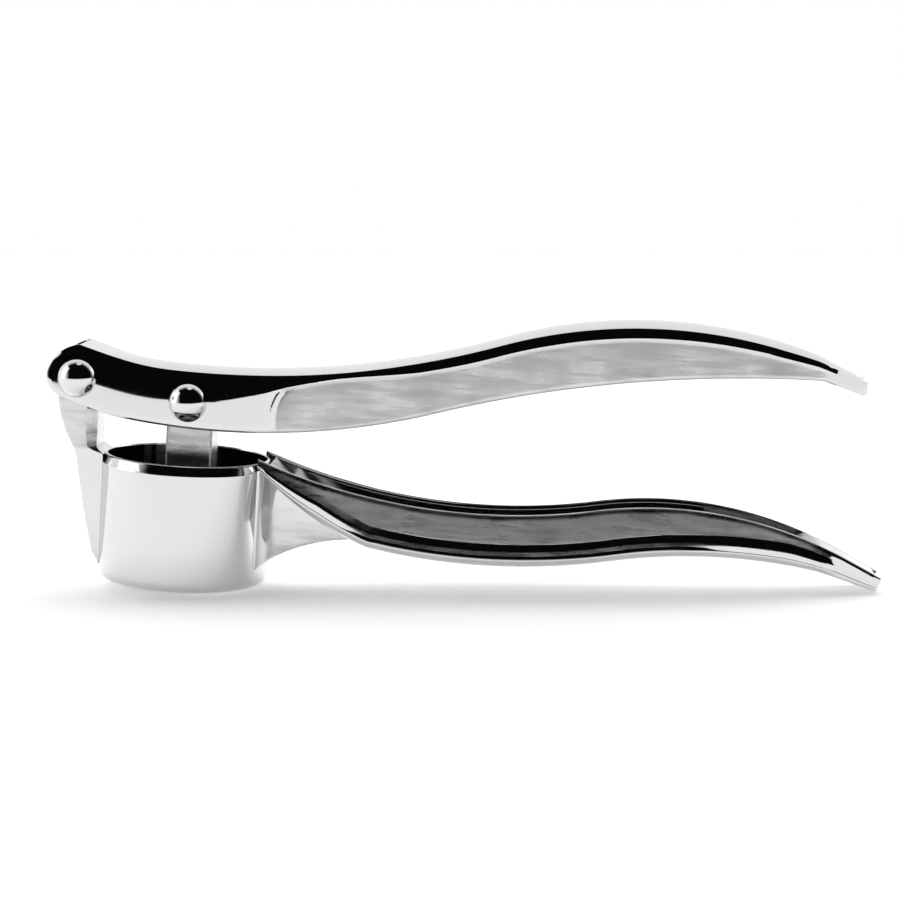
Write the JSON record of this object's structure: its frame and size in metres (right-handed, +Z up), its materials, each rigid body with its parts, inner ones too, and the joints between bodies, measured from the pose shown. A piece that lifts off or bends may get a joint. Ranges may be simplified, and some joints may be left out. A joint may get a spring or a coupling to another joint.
{
  "type": "garlic press",
  "caption": "Hand-held garlic press: two curved channel handles hinged behind a perforated cup, with a plunger that hangs from the upper handle and presses into the cup.",
  "frame": {"origin": "centre of the cup's flat underside", "axes": "+Z up along the cup's axis, +X from the cup to the tail of the handles, +Y across the handles"},
  "size_m": [0.15, 0.0306, 0.0525],
  "materials": {
    "lower_casting": "bright plating over a die casting, duller in the side panels",
    "upper_casting": "bright plating over a die casting, duller in the side panels",
    "plunger_casting": "plain bright plating",
    "rivet_steel": "polished dome"
  },
  "bodies": {
    "base": {"lower_handle": "lower_casting"},
    "lever": {"upper_handle": "upper_casting", "hinge_rivet": "rivet_steel", "plunger_rivet": "rivet_steel"},
    "plunger": {"plunger": "plunger_casting"}
  },
  "joints": [
    {"name": "handle_hinge", "type": "hinge", "parent": "base", "child": "lever", "pos_m": [-0.0193, 0, 0.03595], "axis": [0, -1, 0], "range_deg": [0, 68]},
    {"name": "plunger_pivot", "type": "hinge", "parent": "lever", "child": "plunger", "pos_m": [0.0006, 0, 0.0329], "axis": [0, -1, 0], "range_deg": [-53, 0.5]}
  ],
  "couplings": [
    {"joint": "plunger_pivot", "follows": "handle_hinge", "ratio": -0.77}
  ]
}
